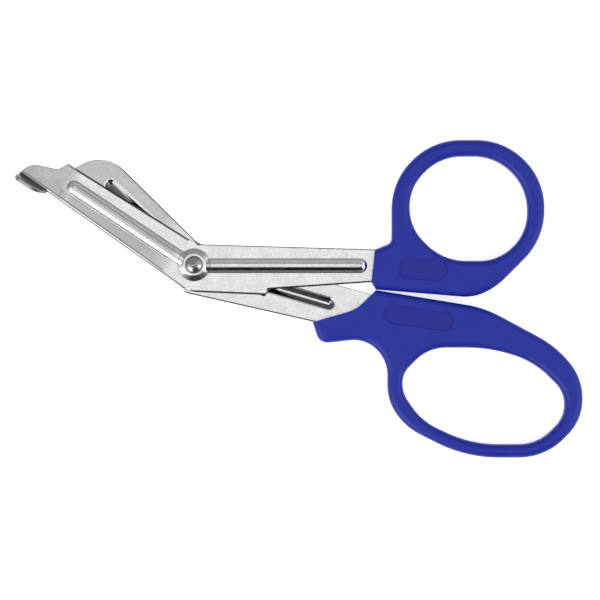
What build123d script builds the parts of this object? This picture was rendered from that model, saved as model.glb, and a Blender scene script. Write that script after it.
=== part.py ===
from build123d import *
import os
from math import cos, hypot, radians, sin, tan

# Bandage scissors: two stamped steel blades on one rivet, with a plastic handle
# moulded round the tang of each. They lie closed on their back, as on a table.
# The origin is on the pivot axis, in the plane they lie on. +X runs along the
# front blade's shank to the handles and +Z points out of the rivet's head.

# Stamped sheet and running gaps
sheet = 1.3
blade_gap = 0.06
rivet_clearance = 0.04
stop_gap = 0.2

# Rivet and washer
rivet_r = 2.0
head_r = 3.0
head_height = 1.4
head_rim = 0.35
tail_r = 2.8
tail_flat_r = 2.0
tail_height = 1.5
washer_r = 3.5
washer_height = 0.5

# Boss pressed round the rivet, and the stiffening beads that run out from it
boss_r = 5.5
boss_top_r = 3.6
boss_height = 1.1
boss_round = 0.3
bead_width = 5.0
bead_height = 0.9
bead_foot_r = 0.2

# Blades: reach of each jaw from the pivot, widths, and angles in degrees
front_jaw = 65.8
front_jaw_width = 14.0
front_jaw_angle = 33.6
rear_jaw = 51.8
rear_jaw_width = 13.7
rear_jaw_angle = 42.5
rear_bead_angle = 43.5
shank_width = 15.0
rear_shank_angle = 16.1
bevel_width = 0.65
grind_depth = 0.15
edge_land = 0.1
back_round = 0.55
edge_round = 0.22

# Foot folded up along the back edge at the front jaw's tip, angles in degrees
foot_length = 10.8
foot_height = 4.1
foot_lean = 20.0
fold_r = 0.4
foot_heel_slant = 58.0
foot_heel_r = 5.0
foot_tip_slant = 75.0
foot_tip_r = 1.9
rim_round = 0.35

# Tangs inside the handles
tang_length = 21.0
tang_width = 8.4
tang_corner_r = 2.0
lock_hole_r = 1.5

# Handles: the place where they meet when closed, then each one's reach and rise
handle_reach = 61.0
handle_drop = 8.4
handle_height = 8.8
handle_round = 2.0
thumb_length = 56.3
thumb_rise = 50.0
finger_length = 69.0
finger_fall = 56.0
panel_depth = 0.4
thumb_panel_length = 16.4
thumb_panel_width = 7.4
finger_panel_length = 23.6
finger_panel_width = 6.4

# One overrun serves every cut
overrun = 2.0

# Levels, from the plane the scissors lie on up to the rivet's seat
rear_boss_z = tail_height + washer_height + rivet_clearance
rear_outer_z = rear_boss_z + boss_height
rear_inner_z = rear_outer_z + sheet
front_inner_z = rear_inner_z + blade_gap
front_outer_z = front_inner_z + sheet
front_boss_z = front_outer_z + boss_height

# Outline corners of the blades, as shares of a length along an axis through the
# pivot, of a width across it, and of that width for the rounding of the corner
front_jaw_shares = [
    (0.041, -0.460, 0.55),
    (0.816, -0.360, 0.05),
    (0.845, -0.099, 0.14),
    (0.980, 0.1465, 0.43),
    (0.9995, 0.485, 0.0),
    (0.835, 0.485, 0.0),
    (-0.0535, 0.606, 0.69),
]
front_shank_shares = [
    (0.360, -0.667, 0.10),
    (0.385, -0.715, 0.045),
    (0.423, -0.543, 0.10),
    (0.984, -0.387, 0.0),
    (0.998, 0.341, 0.03),
]
rear_jaw_shares = [
    (0.072, -0.456, 0.44),
    (0.916, -0.570, 0.847),
    (1.0, 0.293, 0.0),
    (0.150, 0.483, 0.0),
]
rear_shank_shares = [
    (-0.012, -0.660, 0.23),
    (0.936, -0.430, 0.10),
    (1.018, 0.454, 0.0),
]
front_jaw_bead_share = 0.724
front_jaw_bead_offset_share = 0.05
front_shank_bead_share = 0.911
front_shank_bead_offset_share = -0.02
rear_jaw_bead_share = 0.743
rear_shank_bead_share = 0.770
bevel_heel_share = 0.065
rear_bevel_heel_share = 0.15
foot_start_share = 0.835
foot_crease_share = 0.485

# Tangs: where each starts along its shank, and how far its middle lies across it
front_tang_shares = (0.95, -0.11)
rear_tang_shares = (0.95, 0.07)
lock_hole_shares = (0.42, 0.80)

# Handle outlines: corners as shares of length and rise from where the handles
# meet, each with the softness of its rounding, which is 1 where the arc reaches
# half of the shorter side. The bow's last corner and the place where the handles
# meet give the side they share. The mouth is cut square across the rounded body.
thumb_bow_shares = [
    (-0.090, 0.2305, 0.2),
    (0.092, 0.312, 0.3),
    (0.092, 0.729, 1.0),
    (0.335, 1.001, 1.0),
    (0.762, 1.001, 1.0),
    (1.000, 0.734, 1.0),
    (1.000, 0.338, 1.0),
    (0.714, 0.016, 1.0),
    (0.580, -0.054, 1.0),
]
thumb_hole_shares = [
    (0.199, 0.684, 1.0),
    (0.383, 0.891, 1.0),
    (0.712, 0.891, 1.0),
    (0.899, 0.680, 1.0),
    (0.899, 0.382, 1.0),
    (0.730, 0.192, 1.0),
    (0.398, 0.192, 1.0),
    (0.199, 0.416, 1.0),
]
finger_bow_shares = [
    (-0.348, 0.044, 0.2),
    (-0.274, 0.320, 0.4),
    (-0.051, 0.290, 1.0),
    (0.055, 0.420, 1.0),
    (0.055, 0.663, 1.0),
    (0.143, 0.819, 1.0),
    (0.434, 1.001, 1.0),
    (0.819, 1.001, 1.0),
    (1.001, 0.777, 1.0),
    (1.001, 0.524, 1.0),
    (0.871, 0.333, 1.0),
    (0.525, 0.105, 0.45),
]
finger_hole_shares = [
    (0.128, 0.498, 1.0),
    (0.253, 0.344, 1.0),
    (0.548, 0.344, 1.0),
    (0.766, 0.427, 1.0),
    (0.914, 0.608, 1.0),
    (0.914, 0.761, 1.0),
    (0.783, 0.922, 1.0),
    (0.463, 0.922, 1.0),
    (0.224, 0.784, 1.0),
    (0.128, 0.616, 1.0),
]
thumb_heel_share = 0.17
finger_heel_share = 0.39
heel_round_share = 0.2
arc_reach_share = 0.49
thumb_mouth_shares = [
    (-0.0275, 0.050, 0.0),
    (-0.003, 0.32, 0.0),
    (-0.2, 0.32, 0.0),
    (-0.2, -0.05, 0.0),
]
finger_mouth_shares = [
    (-0.096, 0.1155, 1.36),
    (-0.42, 0.232, 0.0),
    (-0.42, -0.2, 0.0),
    (0.0, -0.2, 0.0),
]
thumb_panel_shares = (0.279, 0.1355)
thumb_panel_tilt = -2.5
finger_panel_shares = (0.207, 0.1675)
finger_panel_tilt = -7.7


def along(angle):
    """The direction at an angle to +X."""
    return Vector(1, 0).rotate(Axis.Z, angle)


def corners(shares, angle, length, width):
    """Corner points of an outline on an axis through the pivot, and their radii."""
    points = [Vector(u * length, v * width).rotate(Axis.Z, angle) for u, v, _ in shares]
    radii = [rounding * width for _, _, rounding in shares]
    return points, radii


def from_stop(shares, side, length, rise):
    """Points of a handle, counted from where the handles meet, up or down."""
    start = Vector(handle_reach, side * stop_gap / 2 - handle_drop)
    return [start + Vector(share[0] * length, side * share[1] * rise) for share in shares]


def round_corners(points, softness):
    """The radius of each corner of a closed outline, from its sides and its softness."""
    radii = []
    for before, corner, after, soft in zip(points[-1:] + points, points, points[1:] + points[:1], softness):
        back, ahead = before - corner, after - corner
        reach = arc_reach_share * soft * min(back.length, ahead.length)
        radii.append(reach * tan(radians(back.get_angle(ahead) / 2)))
    return radii


def press_boss(inner_z, out):
    """Raise the boss on the outer side of a blade: out is 1 upwards, -1 downwards."""
    with BuildSketch(Plane.XZ) as section:
        with BuildLine():
            FilletPolyline(
                (0, inner_z + out * sheet / 2),
                (boss_r, inner_z + out * sheet / 2),
                (boss_r, inner_z + out * sheet),
                (boss_top_r, inner_z + out * (sheet + boss_height)),
                (0, inner_z + out * (sheet + boss_height)),
                radius=(0, 0, 0, boss_round, 0),
                close=True,
            )
        make_face()
    revolve(section.sketch, axis=Axis.Z)


def hollow_boss(inner_z, out):
    """Sink the inside of the boss so that its wall stays one sheet thick."""
    fall = boss_r - boss_top_r
    mouth_r = boss_r - sheet * (hypot(fall, boss_height) - fall) / boss_height
    with BuildSketch(Plane.XZ) as section:
        with BuildLine():
            Polyline(
                (0, inner_z - out * overrun),
                (mouth_r, inner_z - out * overrun),
                (mouth_r, inner_z),
                (mouth_r - fall, inner_z + out * boss_height),
                (0, inner_z + out * boss_height),
                close=True,
            )
        make_face()
    revolve(section.sketch, axis=Axis.Z, mode=Mode.SUBTRACT)


def bead_plane(inner_z, out, angle, distance, offset):
    """The plane across a bead, its +Y pointing out of the blade's outer face."""
    direction = along(angle)
    return Plane(
        origin=direction * distance + along(angle + 90) * offset + Vector(0, 0, inner_z),
        x_dir=Vector(0, 0, out).cross(direction),
        z_dir=direction,
    )


def draw_bead(depth, base):
    """The section of a bead at a depth in the sheet: a crown arc between two soft feet."""
    half = bead_width / 2
    crown = bead_height + sheet - depth
    span = (half**2 + bead_height**2) / (2 * bead_height)
    crown_r = span - bead_foot_r - depth
    join_x = half * crown_r / span
    join_y = crown - crown_r * bead_height / span
    TangentArc((-half, sheet - depth), (-join_x, join_y), tangent=(1, 0))
    ThreePointArc((-join_x, join_y), (0, crown), (join_x, join_y))
    TangentArc((half, sheet - depth), (join_x, join_y), tangent=(-1, 0))
    Polyline((half, sheet - depth), (half, base), (-half, base), (-half, sheet - depth))


def run_bead(inner_z, out, route, depth, base, mode):
    """A rounded ridge from under the boss to its reach, with a domed end."""
    angle, reach, offset = route
    start = boss_top_r / 2
    with BuildSketch(bead_plane(inner_z, out, angle, start, offset)) as section:
        with BuildLine():
            draw_bead(depth, base)
        make_face()
    extrude(section.sketch, amount=reach - start, mode=mode)
    end = bead_plane(inner_z, out, angle, reach, offset)
    with BuildSketch(end) as half_section:
        with BuildLine():
            draw_bead(depth, base)
        make_face()
        split(bisect_by=Plane.YZ)
    revolve(half_section.sketch, axis=Axis(end.origin, (0, 0, 1)), mode=mode)


def press_beads(inner_z, out, routes):
    """Raise the beads outside the blade, then sink their grooves and the boss inside."""
    press_boss(inner_z, out)
    for route in routes:
        run_bead(inner_z, out, route, 0, sheet / 2, Mode.ADD)
    hollow_boss(inner_z, out)
    for route in routes:
        run_bead(inner_z, out, route, sheet, -overrun, Mode.SUBTRACT)


def grind_edge(heel, tip, inner_z, out, side):
    """Grind the steep cutting bevel from the outer face: side is 1 right of the way to the tip."""
    direction = (tip - heel).normalized()
    section = Plane(
        origin=heel + Vector(0, 0, inner_z),
        x_dir=direction.cross(Vector(0, 0, side)),
        z_dir=-direction * side * out,
    )
    with BuildSketch(section) as bevel:
        with BuildLine():
            Polyline(
                (-grind_depth - bevel_width, sheet),
                (-grind_depth, edge_land),
                (-grind_depth, -overrun),
                (overrun, -overrun),
                (overrun, sheet + overrun),
                (-grind_depth - bevel_width, sheet + overrun),
                close=True,
            )
        make_face()
    extrude(bevel.sketch, amount=-side * out * ((tip - heel).length + overrun), mode=Mode.SUBTRACT)


def round_edge(start, end, z, radius):
    """Round the edge between two corners of a blade, and what runs on smoothly from it."""
    fillet(edges().sort_by_distance((start + end) / 2 + Vector(0, 0, z))[0], radius)


def cut_tang(z, angle, shares):
    """A round-ended tang with two holes that lock it in the moulded handle."""
    start = along(angle) * shares[0] * handle_reach + along(angle + 90) * shares[1] * shank_width
    axis = Plane(origin=start + Vector(0, 0, z), x_dir=along(angle), z_dir=(0, 0, 1))
    with BuildSketch(axis) as tang:
        Rectangle(tang_length, tang_width, align=(Align.MIN, Align.CENTER))
        fillet(vertices(), tang_corner_r)
        with Locations(*[(share * tang_length, 0) for share in lock_hole_shares]):
            Circle(lock_hole_r, mode=Mode.SUBTRACT)
    extrude(tang.sketch, amount=sheet)


# Foot: the sheet folded up along a crease, leaning out, with a rounded rim
jaw_direction = along(180 - front_jaw_angle)
outward = along(270 - front_jaw_angle)
crease = (
    jaw_direction * front_jaw * foot_start_share
    + outward * front_jaw_width * foot_crease_share
    + Vector(0, 0, front_inner_z)
)
lean = radians(foot_lean)
heel_run = 1 / tan(radians(foot_heel_slant))
tip_run = 1 / tan(radians(foot_tip_slant))
rim_out = (foot_height + overrun) * sin(lean)
rim_up = sheet + (foot_height + overrun) * cos(lean)
with BuildPart() as foot:
    with BuildSketch(Plane(origin=crease - jaw_direction * foot_height, x_dir=outward, z_dir=jaw_direction)):
        with BuildLine():
            FilletPolyline(
                (-sheet, 0),
                (sheet * (1 - sin(lean)) / cos(lean), 0),
                (rim_out + sheet * cos(lean), rim_up - sheet * sin(lean)),
                (rim_out, rim_up),
                (0, sheet),
                (-sheet, sheet),
                radius=(0, fold_r + sheet, 0, 0, fold_r, 0),
                close=True,
            )
        make_face()
    extrude(amount=foot_length + 2 * foot_height)
    flange = Plane(
        origin=crease + Vector(0, 0, sheet),
        x_dir=jaw_direction,
        z_dir=Vector(0, 0, sin(lean)) - outward * cos(lean),
    )
    with BuildSketch(flange):
        with BuildLine():
            FilletPolyline(
                (-2 * sheet * heel_run, -2 * sheet),
                (foot_length - 2 * sheet * tip_run, -2 * sheet),
                (foot_length + foot_height * tip_run, foot_height),
                (foot_height * heel_run, foot_height),
                radius=(0, 0, foot_tip_r, foot_heel_r),
                close=True,
            )
        make_face()
    extrude(amount=foot_height + sheet, both=True, mode=Mode.INTERSECT)
    rim_middle = flange.from_local_coords((foot_length / 2, foot_height, -sheet / 2))
    rim_face = faces().sort_by_distance(rim_middle)[0]
    fillet(rim_face.edges().sort_by(Axis(flange.origin, flange.x_dir))[1:-1], rim_round)

# Front blade: the lower jaw, with the foot, and the shank to the thumb handle
jaw_points, jaw_radii = corners(front_jaw_shares, 180 - front_jaw_angle, front_jaw, front_jaw_width)
shank_points, shank_radii = corners(front_shank_shares, 0, handle_reach, shank_width)
edge_line = jaw_points[1] - jaw_points[0]
with BuildPart() as front_blade:
    with BuildSketch(Plane.XY.offset(front_inner_z)):
        with BuildLine():
            FilletPolyline(jaw_points + shank_points, radius=jaw_radii + shank_radii, close=True)
        make_face()
    extrude(amount=sheet)
    cut_tang(front_inner_z, 0, front_tang_shares)
    round_edge(jaw_points[5], jaw_points[6], front_outer_z, back_round)
    round_edge(shank_points[4], jaw_points[0], front_outer_z, edge_round)
    add(foot.part)
    jaw_bead = (
        180 - front_jaw_angle,
        front_jaw * front_jaw_bead_share,
        front_jaw_width * front_jaw_bead_offset_share,
    )
    shank_bead = (
        0,
        handle_reach * front_shank_bead_share,
        shank_width * front_shank_bead_offset_share,
    )
    press_beads(front_inner_z, 1, (jaw_bead, shank_bead))
    grind_edge(jaw_points[0] + edge_line * bevel_heel_share, jaw_points[1], front_inner_z, 1, 1)
    with Locations((0, 0, front_boss_z)):
        Hole(rivet_r)
front_blade.part.label = "front_blade"

# Rear blade: the upper jaw, and the shank that runs down to the finger handle
jaw_points, jaw_radii = corners(rear_jaw_shares, 180 - rear_jaw_angle, rear_jaw, rear_jaw_width)
shank_points, shank_radii = corners(rear_shank_shares, -rear_shank_angle, handle_reach, shank_width)
edge_line = jaw_points[2] - jaw_points[3]
with BuildPart() as rear_blade:
    with BuildSketch(Plane.XY.offset(rear_outer_z)):
        with BuildLine():
            FilletPolyline(jaw_points + shank_points, radius=jaw_radii + shank_radii, close=True)
        make_face()
    extrude(amount=sheet)
    cut_tang(rear_outer_z, -rear_shank_angle, rear_tang_shares)
    round_edge(shank_points[2], jaw_points[0], rear_outer_z, back_round)
    round_edge(shank_points[2], jaw_points[0], rear_inner_z, edge_round)
    round_edge(shank_points[0], shank_points[1], rear_inner_z, edge_round)
    jaw_bead = (180 - rear_bead_angle, rear_jaw * rear_jaw_bead_share, 0)
    shank_bead = (-rear_shank_angle, handle_reach * rear_shank_bead_share, 0)
    press_beads(rear_inner_z, -1, (jaw_bead, shank_bead))
    grind_edge(jaw_points[3] + edge_line * rear_bevel_heel_share, jaw_points[2], rear_inner_z, -1, -1)
    with Locations((0, 0, rear_inner_z)):
        Hole(rivet_r + rivet_clearance)
rear_blade.part.label = "rear_blade"

# Rivet: a domed head on the front boss, and a tail peened over the washer
with BuildPart() as pivot_rivet:
    with BuildSketch(Plane.XZ):
        with BuildLine():
            Line((0, 0), (tail_flat_r, 0))
            RadiusArc((tail_flat_r, 0), (tail_r, tail_height), -tail_height)
            Polyline(
                (tail_r, tail_height),
                (rivet_r, tail_height),
                (rivet_r, front_boss_z),
                (head_r, front_boss_z),
                (head_r, front_boss_z + head_rim),
            )
            TangentArc(
                (0, front_boss_z + head_height),
                (head_r, front_boss_z + head_rim),
                tangent=(1, 0),
            )
            Line((0, front_boss_z + head_height), (0, 0))
        make_face()
    revolve(axis=Axis.Z)
pivot_rivet.part.label = "pivot_rivet"

# Washer between the rivet's tail and the rear boss
with BuildPart() as rivet_washer:
    with BuildSketch(Plane.XY.offset(tail_height)):
        Circle(washer_r)
        Circle(rivet_r, mode=Mode.SUBTRACT)
    extrude(amount=washer_height)
rivet_washer.part.label = "rivet_washer"


def mould_handle(side, heel_share, bow_shares, hole_shares, mouth_shares, length, rise):
    """One handle: a flat bow round a finger hole, rounded at all its edges."""
    stop = from_stop([(0, 0)], side, length, rise)[0]
    bow = from_stop(bow_shares, side, length, rise)
    bow.append(stop + (stop - bow[-1]) * heel_share)
    hole = from_stop(hole_shares, side, length, rise)
    with BuildSketch(Plane.XY) as outline:
        with BuildLine():
            softness = [share[2] for share in bow_shares] + [heel_round_share]
            FilletPolyline(bow, radius=round_corners(bow, softness), close=True)
        make_face()
        with BuildLine():
            softness = [share[2] for share in hole_shares]
            FilletPolyline(hole, radius=round_corners(hole, softness), close=True)
        make_face(mode=Mode.SUBTRACT)
    extrude(outline.sketch, amount=handle_height)
    flats = faces().sort_by(Axis.Z)
    fillet(flats[0].edges() + flats[-1].edges(), handle_round)
    with BuildSketch(Plane.XY) as mouth:
        with BuildLine():
            FilletPolyline(
                [stop] + from_stop(mouth_shares, side, length, rise),
                radius=[0] + [share[2] * handle_height for share in mouth_shares],
                close=True,
            )
        make_face()
    extrude(mouth.sketch, amount=handle_height, mode=Mode.SUBTRACT)


def sink_panel(centre, tilt, length, width):
    """A shallow round-ended recess in the front of a handle."""
    with BuildSketch(Plane.XY.offset(handle_height)) as panel:
        with Locations(Location(centre, (0, 0, tilt))):
            SlotOverall(length, width)
    extrude(panel.sketch, amount=-panel_depth, mode=Mode.SUBTRACT)


# Thumb handle: a near-round ring on the front blade's tang
with BuildPart() as thumb_handle:
    mould_handle(
        1,
        thumb_heel_share,
        thumb_bow_shares,
        thumb_hole_shares,
        thumb_mouth_shares,
        thumb_length,
        thumb_rise,
    )
    panel_centre = from_stop([thumb_panel_shares], 1, thumb_length, thumb_rise)[0]
    sink_panel(panel_centre, thumb_panel_tilt, thumb_panel_length, thumb_panel_width)
    add(front_blade.part, mode=Mode.SUBTRACT)
thumb_handle.part.label = "thumb_handle"

# Finger handle: a long bow on the rear blade's tang
with BuildPart() as finger_handle:
    mould_handle(
        -1,
        finger_heel_share,
        finger_bow_shares,
        finger_hole_shares,
        finger_mouth_shares,
        finger_length,
        finger_fall,
    )
    panel_centre = from_stop([finger_panel_shares], -1, finger_length, finger_fall)[0]
    sink_panel(panel_centre, finger_panel_tilt, finger_panel_length, finger_panel_width)
    add(rear_blade.part, mode=Mode.SUBTRACT)
finger_handle.part.label = "finger_handle"

os.makedirs("parts", exist_ok=True)
for piece in (front_blade, rear_blade, pivot_rivet, rivet_washer, thumb_handle, finger_handle):
    export_step(piece.part, f"parts/{piece.part.label}.step")
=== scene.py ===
import math

import bpy
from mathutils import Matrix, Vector

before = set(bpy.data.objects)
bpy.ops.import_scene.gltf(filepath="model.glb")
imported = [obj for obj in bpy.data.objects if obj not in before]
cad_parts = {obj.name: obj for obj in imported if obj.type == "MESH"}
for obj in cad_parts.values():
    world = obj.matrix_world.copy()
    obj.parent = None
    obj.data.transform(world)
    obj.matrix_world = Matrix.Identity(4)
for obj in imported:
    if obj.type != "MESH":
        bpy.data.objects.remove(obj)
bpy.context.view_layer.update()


# Table and studio: the scissors lie on their back on a plain white table, seen from
# straight above. The room is white to the camera and grey in the steel: bright overhead,
# left and right, dark at the near side and low down. Two weak soft boxes stand in it.
mm = 0.001
table_size = 3.0
table_tone = 0.85
table_lift = 0.70
view_centre = Vector((35.5 * mm, -11.8 * mm, 4.4 * mm))
view_width = 201.1 * mm
lens_mm = 300
clip_far = 20.0
room_tone = 0.48
bright_patches = [
    (60, 3, 10, 20, 0.53),
    (212, 45, 16, 32, 0.84),
    (0, 50, 18, 42, 0.64),
]
dark_patches = [
    (270, 32, 14, 22, 1.00),
    (308, 36, 13, 22, 1.00),
    (274, 62, 12, 24, 0.55),
]
ceiling_ring = (21, 25, 27, 31)
ring_tone = 0.35
skirting = (58, 68)
skirting_tone = 0.60
soft_boxes = [
    ("soft_box_left", 228, 44, 0.9, 0.42, 1.9),
    ("soft_box_right", 340, 46, 0.9, 0.34, 1.0),
]


def wire(tree, kind, settings=None, **inputs):
    """Adds one node with its settings, and sets or links its inputs, by name or as i and a number."""
    node = tree.nodes.new(kind)
    for name, value in (settings or {}).items():
        setattr(node, name, value)
    for name, value in inputs.items():
        number = name[1:]
        socket = node.inputs[int(number) if number.isdigit() else name.replace("_", " ")]
        if isinstance(value, bpy.types.NodeSocket):
            tree.links.new(value, socket)
        else:
            socket.default_value = value
    return node


def maths(tree, operation, *values):
    """One Math node, with its values or sockets in order."""
    inputs = {f"i{index}": value for index, value in enumerate(values)}
    return wire(tree, "ShaderNodeMath", {"operation": operation}, **inputs).outputs[0]


def product(tree, first, *others):
    """Several values multiplied."""
    for other in others:
        first = maths(tree, "MULTIPLY", first, other)
    return first


def largest(tree, first, *others):
    """The largest of several values."""
    for other in others:
        first = maths(tree, "MAXIMUM", first, other)
    return first


def ramp(tree, value, start, end, low=0.0, high=1.0):
    """A smooth step between two readings of a value."""
    return wire(
        tree,
        "ShaderNodeMapRange",
        {"interpolation_type": "SMOOTHSTEP"},
        Value=value,
        From_Min=start,
        From_Max=end,
        To_Min=low,
        To_Max=high,
    ).outputs[0]


def reading(tree, place, direction):
    """How far a place lies along a direction."""
    along = wire(tree, "ShaderNodeVectorMath", {"operation": "DOT_PRODUCT"}, i0=place, i1=direction)
    return along.outputs["Value"]


def heading(azimuth, from_zenith=90):
    """The unit vector at an azimuth from +X and an angle from straight up, in degrees."""
    turn, fall = math.radians(azimuth), math.radians(from_zenith)
    return Vector((math.cos(turn) * math.sin(fall), math.sin(turn) * math.sin(fall), math.cos(fall)))


def seen_directly(tree):
    """1 for camera, glossy and transmission rays, and 0 for the rays that light the object."""
    rays = tree.nodes.new("ShaderNodeLightPath").outputs
    return largest(tree, rays["Is Camera Ray"], rays["Is Glossy Ray"], rays["Is Transmission Ray"])


bpy.ops.object.select_all(action="DESELECT")
bpy.ops.mesh.primitive_plane_add(size=table_size, location=(view_centre.x, view_centre.y, 0))
table = bpy.context.object
table.name = "table"
table_paint = bpy.data.materials.new("table_white")
table_paint.use_nodes = True
tree = table_paint.node_tree
tree.nodes.clear()
paint = wire(tree, "ShaderNodeBsdfDiffuse", Color=(table_tone, table_tone, table_tone, 1))
lift = product(tree, seen_directly(tree), table_lift)
glow = wire(tree, "ShaderNodeEmission", Strength=lift)
both = wire(tree, "ShaderNodeAddShader", i0=paint.outputs[0], i1=glow.outputs[0])
wire(tree, "ShaderNodeOutputMaterial", Surface=both.outputs[0])
table.data.materials.append(table_paint)

world = bpy.data.worlds.new("studio")
bpy.context.scene.world = world
world.use_nodes = True
tree = world.node_tree
tree.nodes.clear()
way = tree.nodes.new("ShaderNodeTexCoord").outputs["Generated"]


def cosine(angle):
    """The height of the sky at an angle from straight up, in degrees."""
    return math.cos(math.radians(angle))


def patch(azimuth, from_zenith, inner, outer, strength):
    """A soft round patch of the room: its strength inside its inner angle, and 0 outside its outer one."""
    towards = reading(tree, way, heading(azimuth, from_zenith))
    return ramp(tree, towards, cosine(outer), cosine(inner), 0.0, strength)


light = room_tone
for place in bright_patches:
    light = maths(tree, "ADD", light, patch(*place))
for place in dark_patches:
    light = product(tree, light, maths(tree, "SUBTRACT", 1.0, patch(*place)))
height = reading(tree, way, heading(0, 0))
inner, inner_full, outer_full, outer = (cosine(angle) for angle in ceiling_ring)
inside = ramp(tree, height, inner_full, inner, ring_tone, 1.0)
outside = ramp(tree, height, outer, outer_full, 1.0, ring_tone)
light = product(tree, light, largest(tree, inside, outside))
high, low = (cosine(angle) for angle in skirting)
light = product(tree, light, ramp(tree, height, low, high, skirting_tone, 1.0))
rays = tree.nodes.new("ShaderNodeLightPath").outputs
strength = largest(tree, light, rays["Is Camera Ray"])
sky = wire(tree, "ShaderNodeBackground", Color=(1, 1, 1, 1), Strength=strength)
wire(tree, "ShaderNodeOutputWorld", Surface=sky.outputs[0])

for name, azimuth, from_zenith, distance, size, power in soft_boxes:
    lamp = bpy.data.lights.new(name, "AREA")
    lamp.shape = "SQUARE"
    lamp.size = size
    lamp.energy = power
    box = bpy.data.objects.new(name, lamp)
    away = heading(azimuth, from_zenith)
    box.location = view_centre + away * distance
    box.rotation_euler = away.to_track_quat("Z", "Y").to_euler()
    box.visible_camera = False
    bpy.context.scene.collection.objects.link(box)

eye = bpy.data.cameras.new("camera")
eye.lens = lens_mm
eye.clip_end = clip_far
camera = bpy.data.objects.new("camera", eye)
camera.location = view_centre + Vector((0, 0, lens_mm / eye.sensor_width * view_width))
bpy.context.scene.collection.objects.link(camera)
bpy.context.scene.camera = camera
bpy.context.scene.view_settings.view_transform = "Standard"


# Front blade: stamped stainless sheet with a tumbled satin skin. Its sheared sides, their rims and the
# folded foot are darker:
# the sides and foot partly as duller sheared steel and partly as painted shade, the rims as near-black
# painted shade. Pressing leaves the band below the jaw's bead and the tip leaning a little out of flat, and
# painted shade and dark reflection lie along the bead and boss.
steel_dark = (0.735, 0.735, 0.74)
steel_light = (0.89, 0.89, 0.885)
flat_roughness = 0.23
curve_roughness = 0.13
roughness_spread = 0.03
gloss_tones = (0.2, 0.8)
curve_tilt = (0.975, 0.995)
curve_calm = 0.3
grain_size = 0.55 * mm
fine_grain_size = 0.2 * mm
blotch_size = 4.0 * mm
blotch_share = 0.6
fine_relief_share = 0.3
mottle_tones = (0.95, 1.65)
grain_depth = 0.003 * mm
grain_detail = 2.0
blotch_detail = 1.0
streak_size = 0.16 * mm
streak_length = 3.0 * mm
streak_depth = 0.012 * mm
streak_detail = 3.0
grind_size = 0.32 * mm
grind_tones = (0.35, 0.65)
# The sheared sides' dark colour is partly the duller sheared steel and partly painted shade, standing for
# the dark reflections of the steep sides.
cut_shade_dark = (0.12, 0.12, 0.125)
cut_shade_light = (0.28, 0.28, 0.28)
cut_roughness = 0.42
cut_tilt = (0.64, 0.74)
sheet_z = (5.83 * mm, 5.95 * mm)
# How much of the cut finish, with its partly painted dark colour, the folded foot's sides and rim take.
fold_cut_share = 0.75
foot_rim_cut_share = 0.80
foot_z = (7.2 * mm, 7.6 * mm)
foot_tilt = (0.5, 0.6)
front_jaw_rise = 33.6
front_jaw_turn = 180 - front_jaw_rise
front_jaw_way = heading(front_jaw_turn)
front_back_way = heading(front_jaw_turn + 90)
back_turn = 234.7
# Painted shade: near-black lines along some sheared edges, standing for their dark reflections and for the
# shadow in the gap between the blades.
painted_rim_shade = (0.04, 0.04, 0.042)
front_painted_rims = [
    (88.3, 6.89 * mm, 0.32 * mm, (0, 0.5 * mm, 1.5 * mm)),
    (273.9, 9.89 * mm, 0.65 * mm, (0, 24.0 * mm, 25.0 * mm)),
    (267.6, 9.08 * mm, 0.70 * mm, (0, -3.0 * mm, 0.0)),
    (back_turn, 8.38 * mm, 0.52 * mm, (front_jaw_turn, -4.0 * mm, -2.0 * mm)),
]
band_start = 3.3 * mm
band_slope = 0.15
band_root = (2.0 * mm, 18.0 * mm)
tip_start = 51.0 * mm
tip_slope = 0.07
# Painted shade: the dark tone laid by place along the jaw's bead, back edge, lower band and tip, on the
# boss's wall and in the rear blade's grooves, standing for dark reflections and shade.
painted_shade_tone = (0.15, 0.15, 0.155)
wall_radius = (3.65 * mm, 3.90 * mm, 5.40 * mm, 5.60 * mm)
wall_shade = 0.32
wall_unshaded_side = (207, 1.5 * mm, 3.5 * mm)
low_side = (277, 1.8 * mm, 3.4 * mm)
low_side_shade = 0.90
wall_foot = (5.20 * mm, 5.35 * mm, 5.45 * mm, 5.60 * mm)
wall_foot_shade = 0.55
jaw_shade_root = (6.0 * mm, 9.0 * mm)
# Painted shade in stripes along the jaw: on the bead's flanks, at its foot and on the band below it.
jaw_stripes = [
    (-0.50 * mm, -0.30 * mm, 0.35 * mm, 0.45 * mm, 0.25),
    (0.35 * mm, 0.45 * mm, 0.65 * mm, 0.75 * mm, 0.85),
    (2.75 * mm, 2.90 * mm, 3.05 * mm, 3.20 * mm, 0.97),
    (3.50 * mm, 3.60 * mm, 3.70 * mm, 3.80 * mm, 0.60),
    (3.70 * mm, 3.80 * mm, 9.00 * mm, 10.00 * mm, 0.22),
]
stripe_end = (46.0 * mm, 48.5 * mm)
back_stripe = (7.22 * mm, 7.35 * mm, 7.58 * mm, 7.70 * mm)
back_edge_shade = 0.90
tip_shade_start = (47.0 * mm, 51.0 * mm)
tip_shade = 0.38


def new_group(name, inputs, outputs):
    """A shader node group with named inputs and outputs."""
    group = bpy.data.node_groups.new(name, "ShaderNodeTree")
    for label, kind, value in inputs:
        socket = group.interface.new_socket(label, in_out="INPUT", socket_type=kind)
        if value is not None:
            socket.default_value = value
    for label in outputs:
        group.interface.new_socket(label, in_out="OUTPUT", socket_type="NodeSocketFloat")
    return group, group.nodes.new("NodeGroupInput").outputs, group.nodes.new("NodeGroupOutput").inputs


def noise(tree, place, scale, detail):
    """Plain noise over a place."""
    return wire(tree, "ShaderNodeTexNoise", Vector=place, Scale=scale, Detail=detail).outputs[0]


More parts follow.
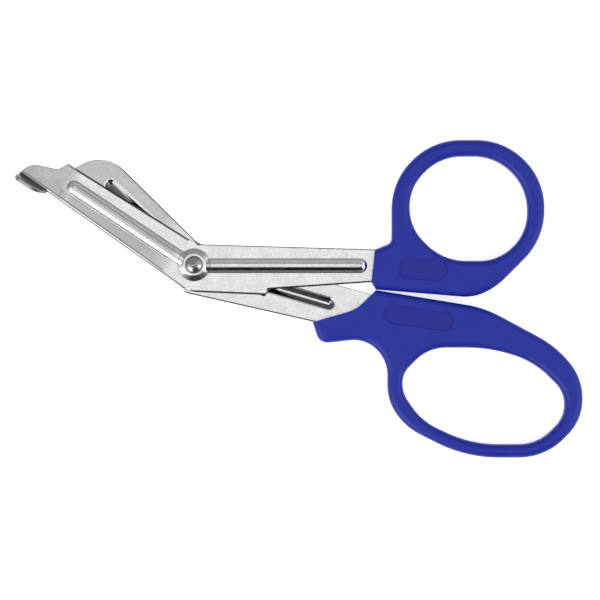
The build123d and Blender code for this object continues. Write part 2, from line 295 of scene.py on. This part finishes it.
def tumbled_skin_group():
    """Mottled grain as tumbling leaves it: a tone, and a height in metres."""
    group, given, out = new_group(
        "tumbled_skin",
        [
            ("Vector", "NodeSocketVector", None),
            ("Grain", "NodeSocketFloat", 1 / grain_size),
            ("Fine", "NodeSocketFloat", 1 / fine_grain_size),
            ("Blotch", "NodeSocketFloat", 1 / blotch_size),
            ("Depth", "NodeSocketFloat", grain_depth),
        ],
        ("Tone", "Height"),
    )
    grain = noise(group, given["Vector"], given["Grain"], grain_detail)
    fine = noise(group, given["Vector"], given["Fine"], grain_detail)
    blotch = noise(group, given["Vector"], given["Blotch"], blotch_detail)
    mottle = maths(group, "ADD", grain, product(group, blotch, blotch_share))
    mottle = maths(group, "ADD", mottle, fine)
    group.links.new(ramp(group, mottle, *mottle_tones), out["Tone"])
    relief = maths(group, "ADD", grain, product(group, fine, fine_relief_share))
    group.links.new(product(group, relief, given["Depth"]), out["Height"])
    return group


def straight_marks_group():
    """Fine straight marks that run along the turned Y axis: a tone, and a height in metres."""
    group, given, out = new_group(
        "straight_marks",
        [
            ("Vector", "NodeSocketVector", None),
            ("Turn", "NodeSocketVector", None),
            ("Size", "NodeSocketVector", (1 / streak_size, 1 / streak_length, 1 / streak_size)),
            ("Depth", "NodeSocketFloat", streak_depth),
        ],
        ("Tone", "Height"),
    )
    turned = wire(
        group,
        "ShaderNodeVectorRotate",
        {"rotation_type": "EULER_XYZ"},
        Vector=given["Vector"],
        Rotation=given["Turn"],
    )
    scaled = wire(
        group,
        "ShaderNodeVectorMath",
        {"operation": "MULTIPLY"},
        i0=turned.outputs[0],
        i1=given["Size"],
    )
    marks = noise(group, scaled.outputs[0], 1.0, streak_detail)
    group.links.new(marks, out["Tone"])
    group.links.new(product(group, marks, given["Depth"]), out["Height"])
    return group


tumbled_skin = tumbled_skin_group()
straight_marks = straight_marks_group()


def new_material(name):
    """An empty node material, with its tree and the place on the piece."""
    material = bpy.data.materials.new(name)
    material.use_nodes = True
    tree = material.node_tree
    tree.nodes.clear()
    return material, tree, tree.nodes.new("ShaderNodeTexCoord").outputs["Object"]


def blend(tree, factor, first, second):
    """A mix of two numbers."""
    return wire(tree, "ShaderNodeMix", Factor=factor, i2=first, i3=second).outputs[0]


def tint(tree, factor, first, second):
    """A mix of two colours, each a plain triple or a socket."""
    mix = wire(tree, "ShaderNodeMix", {"data_type": "RGBA"}, Factor=factor)
    for index, value in ((6, first), (7, second)):
        if isinstance(value, bpy.types.NodeSocket):
            tree.links.new(value, mix.inputs[index])
        else:
            mix.inputs[index].default_value = (*value, 1)
    return mix.outputs[2]


def tilt_up(tree):
    """The upward part of the surface normal, 1 on flat faces and 0 on upright sides."""
    normal = tree.nodes.new("ShaderNodeNewGeometry").outputs["Normal"]
    return wire(tree, "ShaderNodeSeparateXYZ", Vector=normal).outputs["Z"]


def level_of(tree, place):
    """The height above the table."""
    return wire(tree, "ShaderNodeSeparateXYZ", Vector=place).outputs["Z"]


def from_pivot(tree, place):
    """The distance from the pivot axis."""
    flat = wire(tree, "ShaderNodeVectorMath", {"operation": "MULTIPLY"}, i0=place, i1=(1.0, 1.0, 0.0))
    length = wire(tree, "ShaderNodeVectorMath", {"operation": "LENGTH"}, i0=flat.outputs[0])
    return length.outputs["Value"]


def between(tree, value, start, full, full_end, end):
    """1 in the middle of a range of a value, and 0 outside it."""
    return product(tree, ramp(tree, value, start, full), ramp(tree, value, full_end, end, 1.0, 0.0))


def painted_rim_mask(tree, place, edges):
    """1 in the rims along the sheared edges where near-black shade and dark reflection are painted: each has
    a heading, a reach, a width and where it starts.
    """
    shaded_rims = 0.0
    for azimuth, reach, width, (turn, start, full) in edges:
        rim = ramp(tree, reading(tree, place, heading(azimuth)), reach - width, reach - width / 2)
        rim = product(tree, rim, ramp(tree, reading(tree, place, heading(turn)), start, full))
        shaded_rims = largest(tree, rim, shaded_rims)
    return shaded_rims


def steel(name, edges, shape_relief, painted_shade, ground_band=None, foot_rim=None):
    """Tumbled sheet steel with cut sides darkened partly by painted shade, near-black rims of painted shade,
    a pressed relief, and painted shade and dark reflection laid by place.
    """
    material, tree, place = new_material(name)
    skin = wire(tree, "ShaderNodeGroup", {"node_tree": tumbled_skin}, Vector=place)
    tilt = maths(tree, "ABSOLUTE", tilt_up(tree))
    level = level_of(tree, place)
    shaded_rims = product(tree, painted_rim_mask(tree, place, edges), ramp(tree, level, *sheet_z, 1.0, 0.0))
    sides = ramp(tree, tilt, *cut_tilt, 1.0, 0.0)
    sides = product(tree, sides, ramp(tree, level, *sheet_z, 1.0, fold_cut_share))
    cut = largest(tree, sides, shaded_rims)
    if foot_rim:
        cut = largest(tree, cut, foot_rim(tree, place))
    upright = wire(tree, "ShaderNodeGroup", {"node_tree": straight_marks}, Vector=place)
    upright.inputs["Turn"].default_value = (math.radians(90), 0, 0)
    tone = blend(tree, cut, skin.outputs["Tone"], upright.outputs["Tone"])
    grain = product(tree, skin.outputs["Height"], ramp(tree, tilt, *curve_tilt, curve_calm, 1.0))
    height = blend(tree, cut, grain, upright.outputs["Height"])
    if ground_band:
        cover, turn = ground_band(tree, place)
        cross = wire(tree, "ShaderNodeGroup", {"node_tree": straight_marks}, Vector=place)
        cross.inputs["Turn"].default_value = (0, 0, turn)
        cross.inputs["Size"].default_value = (1 / grind_size, 1 / streak_length, 1 / grind_size)
        tone = blend(tree, cover, tone, ramp(tree, cross.outputs["Tone"], *grind_tones))
        height = blend(tree, cover, height, cross.outputs["Height"])
    height = maths(tree, "ADD", height, shape_relief(tree, place))
    bump = wire(tree, "ShaderNodeBump", Height=height, Strength=1.0, Distance=1.0)
    gloss = ramp(tree, tilt, *curve_tilt, curve_roughness, flat_roughness)
    spread = ramp(tree, tone, *gloss_tones, roughness_spread, -roughness_spread)
    gloss = blend(tree, cut, maths(tree, "ADD", gloss, spread), cut_roughness)
    # Partly painted shade: the dark colour of the cut sides.
    cut_shade_colour = tint(tree, tone, cut_shade_dark, cut_shade_light)
    colour = tint(tree, cut, tint(tree, tone, steel_dark, steel_light), cut_shade_colour)
    # Painted shade: the rims turn near black.
    colour = tint(tree, shaded_rims, colour, painted_rim_shade)
    colour = tint(tree, painted_shade(tree, place), colour, painted_shade_tone)
    shader = wire(
        tree,
        "ShaderNodeBsdfPrincipled",
        Base_Color=colour,
        Metallic=1.0,
        Roughness=gloss,
        Normal=bump.outputs[0],
    )
    wire(tree, "ShaderNodeOutputMaterial", Surface=shader.outputs[0])
    return material


def finish_node(name, material):
    """Gives a piece its material."""
    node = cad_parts[name]
    node.data.materials.clear()
    node.data.materials.append(material)


def front_relief(tree, place):
    """The lean of the band below the jaw's bead and of the tip, as a height in metres."""
    ahead = reading(tree, place, front_jaw_way)
    below = reading(tree, place, front_back_way)
    band = largest(tree, maths(tree, "SUBTRACT", below, band_start), 0.0)
    band = product(tree, band, ramp(tree, ahead, *band_root), -band_slope)
    tip = largest(tree, maths(tree, "SUBTRACT", ahead, tip_start), 0.0)
    return maths(tree, "ADD", band, product(tree, tip, -tip_slope))


def foot_rim_cut(tree, place):
    """The rim of the folded foot, which stands above everything else, given the cut finish with its partly
    painted dark colour.
    """
    raised = ramp(tree, level_of(tree, place), *foot_z, 0.0, foot_rim_cut_share)
    return product(tree, raised, ramp(tree, tilt_up(tree), *foot_tilt))


def boss_painted_shade(tree, place):
    """Painted shade on the boss's wall, standing for its dark reflection: strong on its lower side and at
    its foot, faint elsewhere, none at the left.
    """
    unshaded_turn, *unshaded_span = wall_unshaded_side
    low_turn, *low = low_side
    thin = ramp(tree, reading(tree, place, heading(unshaded_turn)), *unshaded_span, wall_shade, 0.0)
    thick = ramp(tree, reading(tree, place, heading(low_turn)), *low, 0.0, low_side_shade)
    radius = from_pivot(tree, place)
    wall = product(tree, between(tree, radius, *wall_radius), largest(tree, thin, thick))
    return largest(tree, wall, product(tree, between(tree, radius, *wall_foot), wall_foot_shade))


def jaw_painted_shade(tree, place):
    """Painted shade on the jaw, standing for dark reflections: lines along the bead and the back edge, and a
    faint shade on the band and the tip.
    """
    ahead = reading(tree, place, front_jaw_way)
    below = reading(tree, place, front_back_way)
    stripes = 0.0
    for *across, strength in jaw_stripes:
        stripes = largest(tree, product(tree, between(tree, below, *across), strength), stripes)
    stripes = product(tree, stripes, ramp(tree, ahead, *stripe_end, 1.0, 0.0))
    back = reading(tree, place, heading(back_turn))
    back = product(tree, between(tree, back, *back_stripe), back_edge_shade)
    lines = product(tree, largest(tree, stripes, back), ramp(tree, ahead, *jaw_shade_root))
    return largest(tree, lines, ramp(tree, ahead, *tip_shade_start, 0.0, tip_shade))


def front_painted_shade(tree, place):
    """All the painted shade on the front blade."""
    return largest(tree, boss_painted_shade(tree, place), jaw_painted_shade(tree, place))


front_steel = steel("front_blade_steel", front_painted_rims, front_relief, front_painted_shade, foot_rim=foot_rim_cut)
finish_node("front_blade", front_steel)


# Rear blade: the same sheet and skin. A narrow band inside the jaw's back edge keeps
# the marks of a cross grind, the grooves behind the beads carry painted shade,
# and pressing leaves the jaw leaning a little out of flat.
rear_jaw_rise = 42.5
rear_jaw_turn = 180 - rear_jaw_rise
rear_shank_turn = -16.1
rear_spine_way = heading(rear_jaw_turn - 90)
rear_jaw_way = heading(rear_jaw_turn)
spine_band = (4.6 * mm, 5.2 * mm)
spine_root = (6.0 * mm, 12.0 * mm)
rear_slope = -0.18
lean_root = (4.0 * mm, 22.0 * mm)
# The rear blade's rims of painted shade.
rear_painted_rims = [
    (45.5, 6.11 * mm, 0.40 * mm, (rear_jaw_turn, 2.0 * mm, 4.0 * mm)),
    (257.3, 9.84 * mm, 0.55 * mm, (rear_shank_turn, -3.0 * mm, 0.0)),
]
# Painted shade: the grooves' walls, below the rear blade's inner face, take the dark painted tone.
groove_z = (4.24 * mm, 4.38 * mm)
upper_tilt = (0.0, 0.1)
floor_tilt = (0.980, 0.995)
unshaded_from = (0.0, 2.0 * mm)


def spine_grind(tree, place):
    """Where the band of cross marks lies, and how far its marks are turned."""
    across = reading(tree, place, rear_spine_way)
    ahead = reading(tree, place, rear_jaw_way)
    cover = product(tree, ramp(tree, across, *spine_band), ramp(tree, ahead, *spine_root))
    return cover, -math.radians(rear_jaw_turn)


def rear_relief(tree, place):
    """The lean of the jaw beyond its root, as a height in metres."""
    across = reading(tree, place, rear_spine_way)
    ahead = reading(tree, place, rear_jaw_way)
    return product(tree, across, ramp(tree, ahead, *lean_root), rear_slope)


def groove_painted_shade(tree, place):
    """1 where shade is painted in the grooves of the upper side, apart from the floor of the shank's groove,
    which is left unshaded.
    """
    sunk = ramp(tree, level_of(tree, place), *groove_z, 1.0, 0.0)
    tilt = tilt_up(tree)
    shank = ramp(tree, reading(tree, place, heading(rear_shank_turn)), *unshaded_from)
    unshaded_floor = product(tree, shank, ramp(tree, tilt, *floor_tilt))
    return product(tree, sunk, ramp(tree, tilt, *upper_tilt), maths(tree, "SUBTRACT", 1.0, unshaded_floor))


rear_steel = steel("rear_blade_steel", rear_painted_rims, rear_relief, groove_painted_shade, ground_band=spine_grind)
finish_node("rear_blade", rear_steel)


# Pivot rivet: turned from stainless bar. The polished head shows turning rings
# round a small centre mark. Its colour is painted darker than the sheet's, as shade for the darker
# reflection of the room in it.
# Painted shade: the rivet's and washer's steel colours are set darker than the sheet's.
rivet_shade_dark = (0.28, 0.28, 0.29)
rivet_shade_light = (0.42, 0.42, 0.43)
rivet_roughness = (0.18, 0.26)
rivet_tones = (0.3, 0.7)
ring_pitch = 1.10 * mm
ring_depth = 0.020 * mm
pip_radius = (0.25 * mm, 0.45 * mm)
pip_rise = 0.06 * mm


def turned_steel(name, centre_rise):
    """Polished bar with turning rings round its axis, and a centre mark of a given height."""
    material, tree, place = new_material(name)
    radius = from_pivot(tree, place)
    wave = maths(tree, "SINE", product(tree, radius, 2 * math.pi / ring_pitch))
    fine = noise(tree, place, 1 / fine_grain_size, grain_detail)
    height = product(tree, maths(tree, "ADD", wave, fine), ring_depth)
    height = maths(tree, "ADD", height, ramp(tree, radius, *pip_radius, centre_rise, 0.0))
    bump = wire(tree, "ShaderNodeBump", Height=height, Strength=1.0, Distance=1.0)
    shader = wire(
        tree,
        "ShaderNodeBsdfPrincipled",
        Base_Color=tint(tree, fine, rivet_shade_dark, rivet_shade_light),
        Metallic=1.0,
        Roughness=ramp(tree, fine, *rivet_tones, *rivet_roughness),
        Normal=bump.outputs[0],
    )
    wire(tree, "ShaderNodeOutputMaterial", Surface=shader.outputs[0])
    return material


finish_node("pivot_rivet", turned_steel("rivet_steel", pip_rise))


# Rivet washer: the same bar steel, between the rivet's tail and the rear blade's
# boss. It has the turning rings and no centre mark.
finish_node("rivet_washer", turned_steel("washer_steel", 0.0))


# Thumb handle: blue plastic with the fine satin skin of its mould. A thin parting
# line runs round the sides at mid height, and the floor of the recess is duller.
blue_dark = (0.0015, 0.0150, 0.360)
blue_light = (0.0025, 0.0200, 0.410)
recess_blue = (0.0060, 0.0120, 0.335)
handle_roughness = 0.44
recess_roughness = 0.54
skin_size = 0.35 * mm
skin_depth = 0.004 * mm
parting_z = 4.4 * mm
parting_half = 0.07 * mm
parting_rise = 0.03 * mm
recess_z = (8.30 * mm, 8.33 * mm, 8.47 * mm, 8.50 * mm)
recess_tilt = (0.90, 0.97)


def blue_plastic(name):
    """Satin moulded plastic with a parting line and a duller recess floor."""
    material, tree, place = new_material(name)
    skin = wire(
        tree,
        "ShaderNodeGroup",
        {"node_tree": tumbled_skin},
        Vector=place,
        Grain=1 / skin_size,
        Depth=skin_depth,
    )
    level = level_of(tree, place)
    recess = product(tree, between(tree, level, *recess_z), ramp(tree, tilt_up(tree), *recess_tilt))
    off_line = maths(tree, "ABSOLUTE", maths(tree, "SUBTRACT", level, parting_z))
    seam = ramp(tree, off_line, 0.0, parting_half, parting_rise, 0.0)
    height = maths(tree, "ADD", skin.outputs["Height"], seam)
    bump = wire(tree, "ShaderNodeBump", Height=height, Strength=1.0, Distance=1.0)
    blue = tint(tree, skin.outputs["Tone"], blue_dark, blue_light)
    shader = wire(
        tree,
        "ShaderNodeBsdfPrincipled",
        Base_Color=tint(tree, recess, blue, recess_blue),
        Roughness=blend(tree, recess, handle_roughness, recess_roughness),
        Normal=bump.outputs[0],
    )
    wire(tree, "ShaderNodeOutputMaterial", Surface=shader.outputs[0])
    return material


handle_plastic = blue_plastic("handle_plastic")
finish_node("thumb_handle", handle_plastic)


# Finger handle: moulded in the same blue plastic as the thumb handle, with the same
# skin, parting line and duller recess.
finish_node("finger_handle", handle_plastic)
